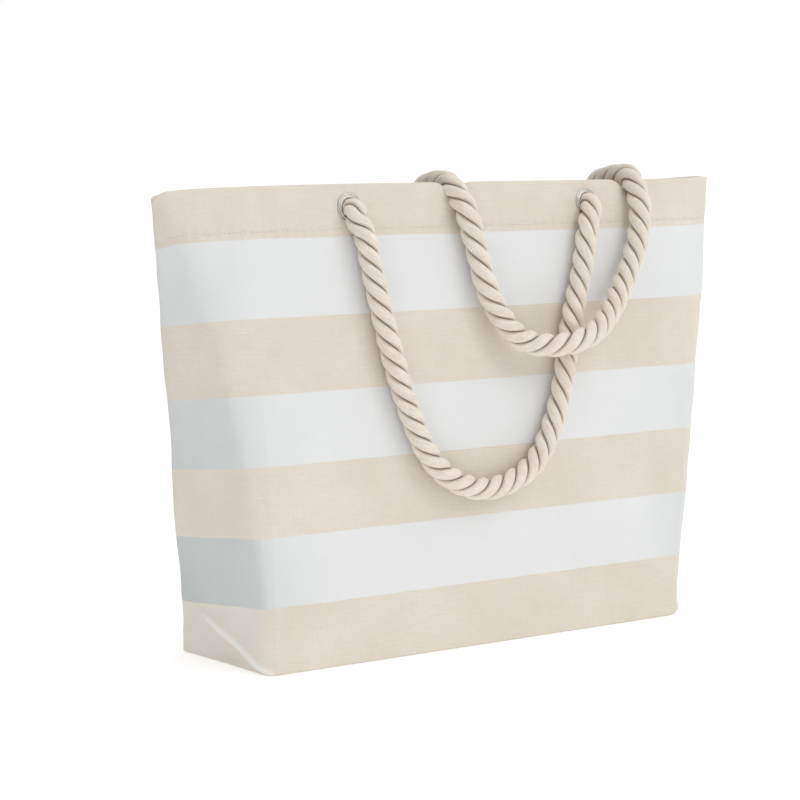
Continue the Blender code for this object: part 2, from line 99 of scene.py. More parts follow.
# The ropes: paths as in the CAD part, radii over the crowns of the strands
FRONT_ROPE = 0.0093
REAR_ROPE = 0.0096
ROPE_CLEARANCE = 0.0006
KNUCKLE_OFFSET = 0.0110
RIM_AXIS_Z = HEIGHT + 0.003
RIM_AXIS_Y = 0.0355
LEG_BEND_RADIUS = 0.024
LEG_RISE = 0.029
LEG_TOP = 0.022
EASE = 0.03
CROSSING_X = 0.079
CROSSING_WIDTH = 0.055
SQUEEZE_WIDTH = 0.0042
FRONT_LOOP = (
    (-0.116, 0.282),
    (-0.097, 0.211),
    (-0.066, 0.152),
    (-0.016, 0.1285),
    (0.036, 0.143),
    (0.066, 0.188),
    (0.085, 0.254),
    (0.1015, 0.300),
)
REAR_LOOP = (
    (-0.014, 0.324),
    (-0.003, 0.280),
    (0.022, 0.247),
    (0.059, 0.241),
    (0.105, 0.255),
    (0.146, 0.290),
    (0.169, 0.328),
)
REAR_BEND_X = (-0.004, 0.188)
REAR_FOLD_X = (-0.025, 0.176)
SPAN_SHARES = (0.13, 0.3, 0.5, 0.7, 0.86)
SPAN_RISES = (
    (-0.0110, -0.0068, -0.0045, -0.0042, -0.0065),
    (-0.0095, -0.0048, -0.0016, -0.0004, -0.0022),
)

# The rope's make
ROPE_STEP = 0.0010
STRANDS = 3
STRAND_SIDES = 26
LAY = 0.0465
GROOVE_DEPTH = 0.50
YARN_PITCH = 0.021
YARN_DEPTH = 0.022
KNOT_ROPE = 0.0058
KNOT_LAY = 0.034
KNOT_SPREAD = 0.0036
KNOT_RISE = 0.0046
KNOT_DEPTH = 0.0145

# How finely the canvas is cut; its columns stand closer together near the side seams
COLUMNS = 340
COLUMN_CROWDING = 0.35
OUTER_ROWS = 132
HEM_ROWS = 22
INNER_ROWS = 84
TURN_STEP = 1e-4
SEAM_GAP = 0.00002
SEAM_REACH = 0.004
SEAM_SIDE = 0.45
SHARP_ANGLE = 55

# The canvas: upper edge of each band from the base up, natural first, and how clean the edges are
BAND_LEVELS = (0.052, 0.106, 0.160, 0.214, 0.271, 0.330)
BAND_WAVER = 0.0007
BAND_SOFTNESS = 0.00035
THREAD_PITCH = 0.00082
# Painted light: how strongly the wall's inside glows in its own colour
INSIDE_GLOW = 0.11

# Painted shade on the white bands round the folded ends: how it fades along the wall from a side seam;
# and where the painted highlight lies on the corner fold
PAINTED_SEAM_SHADE = 0.85
PAINTED_CORNER_SHADE = 0.20
FRONT_SHADE_FADE = 0.125
REAR_SHADE_RISE = 0.050
REAR_SHADE_CORE = 0.060
REAR_SHADE_FADE = 0.080
FOLD_HIGHLIGHT_START = 0.44
FOLD_HIGHLIGHT_FADE = 0.33

# Waves of the cloth as (lift, scale along, scale up, wavelength, count, seed)
PANEL_WAVES = ((0.0012, 1.0, 0.7, 0.150, 9, 3), (0.0005, 1.0, 1.0, 0.055, 11, 5))
RIM_WAVES = ((0.0012, 1.6, 0.5, 0.060, 9, 8),)
END_WAVES = ((0.0022, 1.0, 0.7, 0.085, 8, 21), (0.0008, 1.0, 1.0, 0.034, 9, 23))
RIM_WAVE_START = 0.25
RIM_WAVE_RISE = 0.10
WALL_SHIFT = 0.9
END_SHIFT = 0.7

# Folds as (lift, start, end, width); on the ends the first axis runs from the side seam
CORNER_FOLD_LIFT = 0.0058
CORNER_FOLD = ((-0.0620, -0.001), (0.0265, 0.0446), 0.0062)
END_CREASES = (
    (0.0022, (0.0470, 0.022), (0.0150, 0.004), 0.0055),
    (0.0018, (-0.060, 0.0), (-0.067, 0.23), 0.0060),
    (0.0014, (-0.048, 0.235), (0.010, 0.300), 0.008),
)
HEM_CREASES = (
    (0.00160, (-0.235, 0.343), (-0.165, 0.353), 0.007),
    (0.00128, (-0.205, 0.358), (-0.150, 0.338), 0.006),
    (-0.00176, (-0.225, 0.352), (-0.170, 0.345), 0.007),
    (-0.00128, (-0.060, 0.352), (-0.020, 0.340), 0.009),
)
# Dimples of the ends as (depth, from the side seam, height, half width, half height)
END_DIMPLES = (
    (0.0026, -0.006, 0.009, 0.018, 0.010),
    (0.0024, -0.022, 0.150, 0.022, 0.10),
)
RIGHT_END_SHARE = 0.8
END_REACH = 0.045
END_BLEND = 0.055
PUCKER = 0.00028
PUCKER_PITCH = 0.0095
PUCKER_REACH = 0.006
STITCH_SINK = 0.0005
STITCH_WIDTH = 0.0013
EYELET_PULL = 0.0003
FOOT_RISE = 0.006

# Hem stitching: stitch length, thread radius, and (lift, sink) of the stitches outside and inside
STITCH_PITCH = 0.0034
STITCH_RADIUS = 0.00040
STITCH_LEVELS = ((0.00042, -0.00040), (-0.0031, -0.0022))

# Seam allowances inside: thickness, width, waves of the free edge
SIDE_ALLOWANCE = (0.0018, 0.0085, 0.0009)
CORNER_ALLOWANCE = (0.0016, 0.0078, 0.0005)
OVERLOCK_PITCH = 0.0032
OVERLOCK_RADIUS = 0.00026


# ---- the shell's surface


def section(height):
    """Half width, half depth and squareness of the shell at this height."""
    share = np.maximum(height, 0.0) / HEIGHT
    half_width = BASE_WIDTH / 2 + (MOUTH_WIDTH - BASE_WIDTH) / 2 * share**WIDTH_CURVE
    half_depth = BASE_DEPTH / 2 + (MOUTH_DEPTH - BASE_DEPTH) / 2 * share**DEPTH_CURVE
    fade = share**SQUARENESS_CURVE
    return half_width, half_depth, BASE_SQUARENESS + (MOUTH_SQUARENESS - BASE_SQUARENESS) * fade


def outline(bearing, height, inset):
    """The shell's section at this height, as (x, y) by bearing."""
    half_width, half_depth, squareness = section(height)
    reach = (
        np.abs(np.cos(bearing) / (half_width - inset)) ** squareness
        + np.abs(np.sin(bearing) / (half_depth - inset)) ** squareness
    ) ** (-1 / squareness)
    return reach * np.cos(bearing), reach * np.sin(bearing)


def face_y(x, height, side):
    """The front or rear panel's y at this x and height."""
    half_width, half_depth, squareness = section(height)
    share = min(abs(x) / half_width, 1.0)
    return side * half_depth * (1 - share**squareness) ** (1 / squareness)


def rim_dents(side):
    """Where the rear rope's two spans cross this side of the rim."""
    found = []
    for near, far in zip(REAR_FOLD_X, REAR_BEND_X):
        rim_y = face_y((near + far) / 2, HEIGHT, side)
        share = (rim_y + RIM_AXIS_Y) / (2 * RIM_AXIS_Y)
        found.append(near + (far - near) * share)
    return found


def lowered(x, y, height):
    """The height to which the cloth cut for this height has sagged."""
    half_width, half_depth, _ = section(height)
    share = height / HEIGHT
    across = np.clip(x / half_width, -1.0, 1.0)
    back = 0.5 + 0.5 * np.clip(y / half_depth, -1.0, 1.0)
    set_in = 1 - np.exp(-np.maximum(height, 0.0) / HEIGHT / DROOP_START)
    drop = LEFT_DROOP * np.clip(-across, 0.0, 1.0) ** 4 * back * set_in
    drop = drop + REAR_SAG * back * (1 - across**4) * share**3
    for side in (FRONT, REAR):
        nearness = np.clip(side * y / half_depth, 0.0, 1.0)
        for number, dent_x in enumerate(rim_dents(side)):
            dent_x += DENT_SHIFTS.get((side, number), 0.0)
            bump = np.exp(-(((x - dent_x) / DENT_WIDTH) ** 2))
            drop = drop + DENT_DEPTHS[side, number] * bump * nearness * share**RIM_FADE
    for end, depth in CORNER_DROPS.items():
        away = np.hypot(x - end * half_width, y)
        turn = np.clip(1 - away / CORNER_ROUND, 0.0, 1.0)
        drop = drop + depth * (1 - np.sqrt(1 - turn**2)) * share**RIM_FADE
    return height - drop


def girth_table(height, side):
    """Bearings round one side of the shell, and the distance from the left seam at each."""
    bearing = np.linspace(math.pi, math.pi - side * math.pi, 1201)
    x, y = outline(bearing, height, 0.0)
    run = np.concatenate([[0.0], np.cumsum(np.hypot(np.diff(x), np.diff(y)))])
    return bearing, run


def wall_line(side, height, wanted):
    """Points and outward directions at these distances along the wall's half girth."""
    bearing, run = girth_table(height, side)
    angles = np.interp(wanted, run, bearing)
    x, y = outline(angles, height, 0.0)
    ahead_x, ahead_y = outline(angles + TURN_STEP, height, 0.0)
    behind_x, behind_y = outline(angles - TURN_STEP, height, 0.0)
    normal = np.stack([ahead_y - behind_y, behind_x - ahead_x], axis=1)
    return x, y, unit(normal)


def half_girth(side, height):
    return girth_table(height, side)[1][-1]


def eyelet_spot(side, end):
    shift = EYELET_SHIFTS.get((side, end), (0.0, 0.0))
    return end * EYELET_X + shift[0], EYELET_HEIGHT + shift[1]


def eyelet_place(side, end):
    step = 0.004
    x, height = eyelet_spot(side, end)
    here = Vector((x, face_y(x, height, side), height))
    along = face_y(x + step, height, side) - face_y(x - step, height, side)
    up = face_y(x, height + step, side) - face_y(x, height - step, side)
    normal = Vector((2 * step, along, 0.0)).cross(Vector((0.0, up, 2 * step))).normalized()
    if normal.y * side < 0:
        normal.negate()
    here.z = float(lowered(here.x, here.y, height))
    return here, normal


# ---- folds and creases


def ripple(u, v, wavelength, count, seed):
    """Smooth random waves of about this wavelength, within -1 to 1."""
    rng = np.random.default_rng(seed)
    total = np.zeros(np.broadcast(u, v).shape)
    for _ in range(count):
        angle = rng.uniform(0, math.pi)
        length = wavelength * rng.uniform(0.7, 1.5)
        phase = rng.uniform(0, 2 * math.pi)
        total += np.sin(2 * math.pi * (u * math.cos(angle) + v * math.sin(angle)) / length + phase)
    return total / count


def crease(u, v, start, end, width):
    """A sharp ridge along a line on the cloth: 1 on the line, fading over width and at its ends."""
    du, dv = end[0] - start[0], end[1] - start[1]
    length = math.hypot(du, dv)
    along = ((u - start[0]) * du + (v - start[1]) * dv) / length
    off = ((u - start[0]) * dv - (v - start[1]) * du) / length
    inside = 1 / (1 + np.exp(-along / (width * 0.8))) / (1 + np.exp((along - length) / (width * 1.5)))
    return np.exp(-np.sqrt(off**2 + (width * 0.15) ** 2) / width) * inside


def eased(value):
    share = np.clip(value, 0.0, 1.0)
    return share * share * (3 - 2 * share)


def waves(u, height, table):
    return sum(
        lift * ripple(u * along, height * up, wavelength, count, seed)
        for lift, along, up, wavelength, count, seed in table
    )


def creases(u, v, table):
    return sum(lift * crease(u, v, *line) for lift, *line in table)


def panel_relief(x, height, side):
    u = x + side * WALL_SHIFT
    near_rim = eased((height - RIM_WAVE_START) / RIM_WAVE_RISE)
    return waves(u, height, PANEL_WAVES) + near_rim * waves(u, height, RIM_WAVES)


def end_relief(t, height, end):
    """The folded ends, shared by the two walls; t runs round the end, 0 on its seam, minus in front."""
    relief = waves(t + end * END_SHIFT, height, END_WAVES)
    relief = relief + CORNER_FOLD_LIFT * crease(t, height, *CORNER_FOLD)
    relief = relief + creases(t, height, END_CREASES)
    for depth, at, level, wide, tall in END_DIMPLES:
        relief = relief - depth * np.exp(-(((t - at) / wide) ** 2 + ((height - level) / tall) ** 2))
    return relief


def stitch_pull(x, height, side):
    """Puckers each side of the hem's stitching, and the line it presses in."""
    above = height - (HEIGHT - STITCH_HEIGHT)
    u = x + side * WALL_SHIFT
    wave = np.sin(2 * math.pi * u / PUCKER_PITCH + 2.5 * ripple(u, height * 0, 0.04, 5, 13))
    pucker = PUCKER * wave * np.exp(-((above / PUCKER_REACH) ** 2))
    return pucker - STITCH_SINK * np.exp(-((above / STITCH_WIDTH) ** 2))


def cloth_relief(x, height, run, length, side):
    """How far the cloth stands off its smooth surface, outwards."""
    away = np.minimum(run, length - run)
    t = side * away
    right_end = RIGHT_END_SHARE * end_relief(t, height, RIGHT)
    ends = np.where(run < length / 2, end_relief(t, height, LEFT), right_end)
    share = 1 - eased((away - END_REACH) / END_BLEND)
    relief = panel_relief(x, height, side) * (1 - share) + ends * share
    relief = relief + stitch_pull(x, height, side)
    if side == FRONT:
        relief = relief + creases(x, height, HEM_CREASES)
    for end in (LEFT, RIGHT):
        spot_x, spot_height = eyelet_spot(side, end)
        away = np.hypot(x - spot_x, height - spot_height)
        angle = np.arctan2(height - spot_height, x - spot_x)
        ring = np.exp(-(((away - 0.016) / 0.010) ** 2)) * (away > FLANGE_RADIUS * 0.9)
        relief = relief + EYELET_PULL * ring * np.sin(9 * angle + end)
        relief = relief * (0.12 + 0.88 * eased((away - FLANGE_RADIUS) / 0.006))
    return relief * np.clip(height / FOOT_RISE, 0, 1)


# ---- mesh helpers


def unit(vectors):
    return vectors / np.linalg.norm(vectors, axis=1, keepdims=True)


def headings(path):
    return unit(np.gradient(path, axis=0))


def run_along(points):
    """Distance along a path at each of its points."""
    return np.concatenate([[0.0], np.cumsum(np.linalg.norm(np.diff(points, axis=0), axis=1))])


def band(a, b, sides):
    """Faces between two closed rings of vertices, which start at a and b."""
    return [(a + i, a + (i + 1) % sides, b + (i + 1) % sides, b + i) for i in range(sides)]


def tube_faces(rings, sides):
    """Faces of a tube of rings, closed at both ends."""
    end = (rings - 1) * sides
    faces = [range(sides - 1, -1, -1), range(end, end + sides)]
    for start in range(0, end, sides):
        faces += band(start, start + sides, sides)
    return faces


def make_object(name, vertices, faces):
    mesh = bpy.data.meshes.new(name)
    mesh.from_pydata(np.asarray(vertices).tolist(), [], [tuple(int(i) for i in f) for f in faces])
    mesh.update()
    item = bpy.data.objects.new(name, mesh)
    bpy.context.scene.collection.objects.link(item)
    mesh.shade_smooth()
    return item


def outward(item):
    """Turns a closed mesh's faces outwards."""
    shape = bmesh.new()
    shape.from_mesh(item.data)
    bmesh.ops.recalc_face_normals(shape, faces=shape.faces)
    shape.to_mesh(item.data)
    shape.free()
    return item


def set_uv(item, name, values):
    """A UV layer from one (u, v) pair per vertex."""
    layer = item.data.uv_layers.new(name=name)
    loops = np.zeros(len(item.data.loops), np.int32)
    item.data.loops.foreach_get("vertex_index", loops)
    layer.data.foreach_set("uv", np.asarray(values, np.float32)[loops].ravel())


def set_value(item, name, values):
    attribute = item.data.attributes.new(name, "FLOAT", "POINT")
    attribute.data.foreach_set("value", np.asarray(values, np.float32))


# ---- the canvas


def wall_profile():
    """The wall's closed section as (height, inset), up the outside and down the inside."""
    fold = 0.0022
    rim = 0.0013
    hem_inset = 2 * rim
    hem_foot = HEIGHT - HEM_HEIGHT
    hem_levels = np.linspace(hem_foot, HEIGHT - rim, HEM_ROWS)
    rows = []
    for angle in np.linspace(math.pi / 2, 0, 6)[:-1]:
        rows.append((fold - fold * math.sin(angle), fold - fold * math.cos(angle)))
    rows += [(height, 0.0) for height in np.linspace(fold, hem_foot, OUTER_ROWS)[:-1]]
    hem_start = len(rows)
    rows += [(height, 0.0) for height in hem_levels]
    for angle in np.linspace(0, math.pi, 9)[1:-1]:
        rows.append((HEIGHT - rim + rim * math.sin(angle), rim - rim * math.cos(angle)))
    facing_start = len(rows)
    rows += [(height, hem_inset) for height in hem_levels[::-1]]
    rows += [(hem_foot - 0.0005, hem_inset - 0.0003), (hem_foot - 0.0008, hem_inset - 0.0009)]
    rows += [(height, FABRIC) for height in np.linspace(hem_foot - 0.0010, fold, INNER_ROWS)]
    for angle in np.linspace(0, math.pi / 2, 4)[1:]:
        turn = fold - FABRIC
        rows.append((fold - turn * math.sin(angle), fold - turn * math.cos(angle)))
    return rows, hem_start, facing_start


def seam_relief(height, end):
    """How far the cloth stands off on the side seam itself."""
    length = half_girth(FRONT, height)
    run = 0.0 if end == LEFT else length
    return float(cloth_relief(end * section(height)[0], height, run, length, FRONT))


def painted_band_shade(away, side):
    """Painted shade: how grey the white bands turn round the folded ends, most at the end's rear corner.
    """
    if side == FRONT:
        return PAINTED_SEAM_SHADE * (1 - eased(away / FRONT_SHADE_FADE))
    shade = PAINTED_SEAM_SHADE + PAINTED_CORNER_SHADE * eased(away / REAR_SHADE_RISE)
    return shade * (1 - eased((away - REAR_SHADE_CORE) / REAR_SHADE_FADE))


def seam_groove(distance):
    """The thin line that the side seam presses in."""
    return 0.00014 * np.exp(-((distance / 0.0008) ** 2))


def wall_holes(side, flat_x, levels):
    """Which squares of the hem's grid an eyelet's barrel goes through."""
    holes = np.zeros((HEM_ROWS - 1, COLUMNS - 1), bool)
    for end in (LEFT, RIGHT):
        spot_x, spot_height = eyelet_spot(side, end)
        away = np.hypot(flat_x - spot_x, levels[:, None] - spot_height)
        inside = away < 0.5 * (BARREL_RADIUS + FLANGE_RADIUS)
        holes |= inside[:-1, :-1] & inside[1:, :-1] & inside[:-1, 1:] & inside[1:, 1:]
    return holes


def wall_faces(count, hem_start, facing_start, holes):
    """Faces of the closed section, with the eyelets' holes walled through both plies of the hem."""
    facing_last = facing_start + HEM_ROWS - 1
    skipped = np.zeros((count, COLUMNS - 1), bool)
    skipped[hem_start : hem_start + HEM_ROWS - 1] = holes
    skipped[facing_start:facing_last] = holes[::-1]
    faces = []
    for row in range(count):
        a = row * COLUMNS
        b = (row + 1) % count * COLUMNS
        for column in np.flatnonzero(~skipped[row]):
            faces.append((a + column, a + column + 1, b + column + 1, b + column))

    def outer(level, column):
        return (hem_start + level) * COLUMNS + column

    def inner(level, column):
        return (facing_last - level) * COLUMNS + column

    for level, column in zip(*np.nonzero(holes)):
        corners = [(level, column), (level, column + 1), (level + 1, column + 1), (level + 1, column)]
        beside = [(level - 1, column), (level, column + 1), (level + 1, column), (level, column - 1)]
        for here, there, neighbour in zip(corners, corners[1:] + corners[:1], beside):
            if not holes[neighbour]:
                faces.append((outer(*here), outer(*there), inner(*there), inner(*here)))
    faces.append([row * COLUMNS for row in range(count)])
    faces.append([row * COLUMNS + COLUMNS - 1 for row in range(count - 1, -1, -1)])
    return faces


def canvas_wall(side, label):
    rows, hem_start, facing_start = wall_profile()
    count = len(rows)
    shares = np.linspace(0, 1, COLUMNS)
    shares = shares - COLUMN_CROWDING * np.sin(2 * math.pi * shares) / (2 * math.pi)
    points = np.zeros((count, COLUMNS, 3))
    cloth = np.zeros((count, COLUMNS, 2))
    fold_highlight = np.zeros((count, COLUMNS))
    # ends holds the painted shade of the white bands round the folded ends
    ends = np.zeros((count, COLUMNS))
    for index, (height, inset) in enumerate(rows):
        outside = index < facing_start
        level = np.full(COLUMNS, height)
        length = half_girth(side, height)
        wanted = SEAM_GAP + shares * (length - 2 * SEAM_GAP)
        x, y, normal = wall_line(side, height, wanted)
        relief = cloth_relief(x, level, wanted, length, side)
        push = relief - seam_groove(wanted) - seam_groove(length - wanted) - inset
        away = np.minimum(wanted, length - wanted)
        if outside:
            # Painted highlight along the ridge of the corner fold, on the outside only
            ridge = crease(side * away, level, *CORNER_FOLD)
            fold_highlight[index] = np.clip((ridge - FOLD_HIGHLIGHT_START) / FOLD_HIGHLIGHT_FADE, 0, 1)
        ends[index] = painted_band_shade(away, side)
        px = x + normal[:, 0] * push
        py = y + normal[:, 1] * push
        own_side = np.maximum(side * py, away * SEAM_SIDE)
        py = np.where(away < SEAM_REACH, side * own_side, py)
        points[index] = np.stack([px, py, lowered(x, y, height)], axis=1)
        cloth[index, :, 0] = wanted - length / 2
        cloth[index, :, 1] = height if outside else 2 * HEIGHT - height
    levels = np.array([height for height, _ in rows[hem_start : hem_start + HEM_ROWS]])
    holes = wall_holes(side, points[hem_start : hem_start + HEM_ROWS, :, 0], levels)
    faces = wall_faces(count, hem_start, facing_start, holes)
    wall = outward(make_object("canvas_" + label, points.reshape(-1, 3), faces))
    kept = drop_loose(wall)
    wall.data.set_sharp_from_angle(angle=math.radians(SHARP_ANGLE))
    set_uv(wall, "cloth", cloth.reshape(-1, 2)[kept])
    # The corner fold's painted highlight and the white bands' painted shade, kept for the material
    set_value(wall, "fold_highlight", fold_highlight.reshape(-1)[kept])
    set_value(wall, "ends", ends.reshape(-1)[kept])
    return wall


def drop_loose(item):
    """Drops vertices without a face; returns the first number of each one that stays."""
    shape = bmesh.new()
    shape.from_mesh(item.data)
    loose = [vertex for vertex in shape.verts if not vertex.link_faces]
    kept = [number for number, vertex in enumerate(shape.verts) if vertex.link_faces]
    bmesh.ops.delete(shape, geom=loose, context="VERTS")
    shape.to_mesh(item.data)
    shape.free()
    return kept


def canvas_base():
    inset = 0.0016
    bearings = np.linspace(0, 2 * math.pi, 721)[:-1]
    rim_x, rim_y = outline(bearings, 0.0, inset)
    shares = np.concatenate([[0.0], np.linspace(0.06, 1.0, 28)])
    vertices = [(0.0, 0.0, 0.0004)]
    for share in shares[1:]:
        x = rim_x * share
        y = rim_y * share
        lift = 0.0002 + 0.0005 * (0.5 + 0.5 * ripple(x, y, 0.09, 9, 31)) * (1 - share**8)
        vertices += list(zip(x, y, lift))
    top = [(x, y, z + FABRIC) for x, y, z in vertices]
    ring = len(bearings)
    last = len(vertices) - ring
    faces = band(last, len(vertices) + last, ring)
    for middle in (0, len(vertices)):
        first = middle + 1
        faces += [(middle, first + (step + 1) % ring, first + step) for step in range(ring)]
        for start in range(first, middle + last, ring):
            faces += band(start, start + ring, ring)
    base = outward(make_object("canvas_base", vertices + top, faces))
    set_uv(base, "cloth", [(x, y * 0.2) for x, y, _ in vertices + top])
    return base


# ---- thread


def tube(path, radius, sides):
    """Vertices and faces of a closed thread along the path, thin at its two ends."""
    ahead = headings(path)
    steep = abs(ahead[0][2]) >= 0.9
    side = unit(np.cross(ahead, (1.0, 0.0, 0.0) if steep else (0.0, 0.0, 1.0)))
    other = np.cross(ahead, side)
    angles = np.linspace(0, 2 * math.pi, sides, endpoint=False)
    sizes = np.full(len(path), radius)
    sizes[0] *= 0.45
    sizes[-1] *= 0.45
    ring = side[:, None] * np.cos(angles)[None, :, None] + other[:, None] * np.sin(angles)[None, :, None]
    vertices = (path[:, None] + ring * sizes[:, None, None]).reshape(-1, 3)
    return vertices, tube_faces(len(path), sides)


def joined(name, parts):
    """One object from many (vertices, faces)."""
    vertices = []
    faces = []
    start = 0
    for points, polygons in parts:
        vertices.append(points)
        faces += [tuple(start + index for index in polygon) for polygon in polygons]
        start += len(points)
    return make_object(name, np.concatenate(vertices), faces)


def surface_point(side, run_shares, height, lift):
    """Points over the wall at these shares of its half girth, lifted off the cloth."""
    length = half_girth(side, height)
    wanted = run_shares * length
    x, y, normal = wall_line(side, height, wanted)
    relief = cloth_relief(x, np.full(len(x), height), wanted, length, side) + lift
    z = lowered(x, y, np.full(len(x), height))
    return np.stack([x + normal[:, 0] * relief, y + normal[:, 1] * relief, z], axis=1)


def hem_stitching(side, label):
    """Lockstitch along the hem: short stitches outside and inside, each dipping at its ends."""
    height = HEIGHT - STITCH_HEIGHT
    length = half_girth(side, height)
    margin = 0.004 / length
    count = int(length * (1 - 2 * margin) / STITCH_PITCH)
    edges = np.linspace(margin, 1 - margin, count + 1)
    places = np.array([0.06, 0.2, 0.5, 0.8, 0.94])
    rise = np.array([0.0, 0.85, 1.0, 0.85, 0.0])[:, None]
    parts = []
    for lift, sink in STITCH_LEVELS:
        for start, end in zip(edges, edges[1:]):
            shares = start + (end - start) * places
            high = surface_point(side, shares, height, lift)
            low = surface_point(side, shares, height, sink)
            parts.append(tube(low + (high - low) * rise, STITCH_RADIUS, 6))
    return joined("hem_thread_" + label, parts)


# ---- seam allowances inside


def edge_wave(run, lift):
    """The free edge's waves along a seam allowance."""
    return lift * (math.sin(run / 0.021) + 0.6 * math.sin(run / 0.0083))


def ribbon(name, spine, across, thickness, width, ripples):
    """A folded allowance: two plies along the spine, standing off it across, with a wavy free edge."""
    normal = unit(np.cross(headings(spine), across))
    run = run_along(spine)
    profile = [(0, 0.5), (0.35, 0.5), (0.7, 0.48), (0.95, 0.42), (1.0, 0.0)]
    loop = profile + [(a, -b) for a, b in reversed(profile)]
    vertices = []
    uv = []
    for index, point in enumerate(spine):
        wave = edge_wave(run[index], ripples)
        for reach, off in loop:
            stand_off = normal[index] * (thickness * off + wave * reach**2)
            vertices.append(point + across[index] * (width * reach) + stand_off)
            uv.append((reach * width, 0.335 + run[index] * 0.05))
    item = outward(make_object(name, vertices, tube_faces(len(spine), len(loop))))
    set_uv(item, "cloth", uv)
    return item, run, normal


def overlock(name, spine, across, normal, run, thickness, width, ripples):
    """Thread zigzagging over the allowance's free edge."""
    path = []
    for step in range(2 * int(run[-1] / OVERLOCK_PITCH)):
        s = step * OVERLOCK_PITCH / 2
        index = s / run[-1] * (len(spine) - 1)
        low = int(min(index, len(spine) - 2))
        share = index - low
        point, out, face = (
            array[low] * (1 - share) + array[low + 1] * share for array in (spine, across, normal)
        )
        reach = (0.62, 1.03)[step % 2]
        off = (0.62, 0.1, -0.62, -0.1)[step % 4]
        lift = thickness * off + edge_wave(s, ripples) * reach**2
        path.append(point + out * (width * reach) + face * lift)
    return make_object(name, *tube(np.array(path), OVERLOCK_RADIUS, 5))


def seam_allowance(kind, label, spine, across, sizes):
    """The folded strip and the thread over its edge; sizes are thickness, width and ripples."""
    strip, run, normal = ribbon(kind + "_" + label, spine, across, *sizes)
    thread = overlock(kind + "_thread_" + label, spine, across, normal, run, *sizes)
    return strip, thread


def side_seam(end, label):
    spine = []
    across = []
    for height in np.linspace(0.011, HEIGHT - HEM_HEIGHT * 0.1, 110):
        half_width, _, _ = section(height)
        under_hem = height > HEIGHT - HEM_HEIGHT - 0.003
        inset = FABRIC + 0.0002 + (0.0018 if under_hem else 0.0)
        x = end * (half_width - inset + seam_relief(height, end))
        z = float(lowered(end * half_width, 0.0, height))
        spine.append((x, 0.0003, z))
        tilt = 0.42 + 0.15 * math.sin(height * 31)
        across.append((-end * math.cos(tilt), math.sin(tilt), 0.0))
    return seam_allowance("side_seam", label, np.array(spine), np.array(across), SIDE_ALLOWANCE)


def corner_seam(end, label):
    x = end * (BASE_WIDTH / 2 - 0.0036)
    spine = np.array([(x, y, 0.0014) for y in np.linspace(-0.047, 0.047, 48)])
    across = np.array([(-end * 0.25, 0.0, 0.968) for _ in spine])
    return seam_allowance("corner_seam", label, spine, across, CORNER_ALLOWANCE)


# ---- eyelets


def turned(name, profile, sides=96):
    """A closed ring turned about +Z from a closed (radius, height) outline."""
    angles = np.linspace(0, 2 * math.pi, sides, endpoint=False)
    vertices = [(r * math.cos(angle), r * math.sin(angle), z) for r, z in profile for angle in angles]
    faces = []
    for level in range(len(profile)):
        faces += band(level * sides, (level + 1) % len(profile) * sides, sides)
    return outward(make_object(name, vertices, faces))


def eyelet(name):
    """Flange with a rolled rim and a shallow step, running into the barrel."""
    steps = ((0.0, -0.0004), (0.0002, 0.0008), (0.0008, 0.0015), (0.0016, 0.0016), (0.0022, 0.0012))
    steps += ((0.0025, 0.0008), (0.0028, 0.0010))
    profile = [(BARREL_BORE + out, level) for out, level in steps]
    steps = ((0.0006, 0.0010), (0.0001, 0.0007), (0.0, 0.0003), (0.0001, 0.0001))
    profile += [(FLANGE_RADIUS - inside, level) for inside, level in steps]
    profile += [(BARREL_RADIUS + 0.0006, 0.0001), (BARREL_RADIUS, -0.0003), (BARREL_RADIUS, -0.0034)]
    profile += [(BARREL_BORE + 0.0003, -0.0037), (BARREL_BORE, -0.0034)]
    return turned(name, profile)


def washer(name):
    bore = BARREL_RADIUS + 0.0003
    roll = (FLANGE_RADIUS - bore) / 2
    profile = []
    for angle in np.linspace(math.pi, 0, 11):
        level = WASHER_TOP - 0.0005 - 0.0008 * math.sin(angle)
        profile.append((bore + roll + roll * math.cos(angle), level))
    profile.append((FLANGE_RADIUS, WASHER_TOP))
    profile.append((bore, WASHER_TOP))
    return turned(name, profile)


def stand(item, side, end, roll=0.0):
    """Moves a piece made about +Z onto an eyelet's place, turned about its own axis by roll."""
    point, normal = eyelet_place(side, end)
    turn = normal.to_track_quat("Z", "X").to_matrix().to_4x4()
    item.data.transform(Matrix.Translation(point) @ turn @ Matrix.Rotation(roll, 4, "Z"))
    return item


# ---- rope


def catmull(points, per_span=24):
    """A smooth path through the points."""
    knots = [np.array(p, float) for p in points]
    knots = [2 * knots[0] - knots[1]] + knots + [2 * knots[-1] - knots[-2]]
    dense = []
    for before, start, end, after in zip(knots, knots[1:], knots[2:], knots[3:]):
        for count in range(per_span):
            t = count / per_span
            b = (end - before) * t
            c = (2 * before - 5 * start + 4 * end - after) * t * t
            d = (3 * start - before - 3 * end + after) * t**3
            dense.append((2 * start + b + c + d) / 2)
    dense.append(knots[-2])
    return np.array(dense)


def resampled(points, step):
    points = np.asarray(points, float)
    run = run_along(points)
    count = max(3, round(run[-1] / step) + 1)
    wanted = np.linspace(0, run[-1], count)
    return np.stack([np.interp(wanted, run, points[:, axis]) for axis in range(3)], axis=1)


def softened(points, passes):
    """Rounds off the corners of an evenly spaced path without moving its ends."""
    points = points.copy()
    for _ in range(passes):
        points[1:-1] = points[1:-1] * 0.5 + (points[:-2] + points[2:]) * 0.25
    return points


def cross_directions(path):
    """Two directions across the path at each point, carried along without twist."""
    ahead = headings(path)
    side = Vector(ahead[0]).orthogonal().normalized()
    sides = []
    for direction in map(Vector, ahead):
        side = (side - direction * side.dot(direction)).normalized()
        sides.append(tuple(side))
    return np.array(sides), np.cross(ahead, sides)


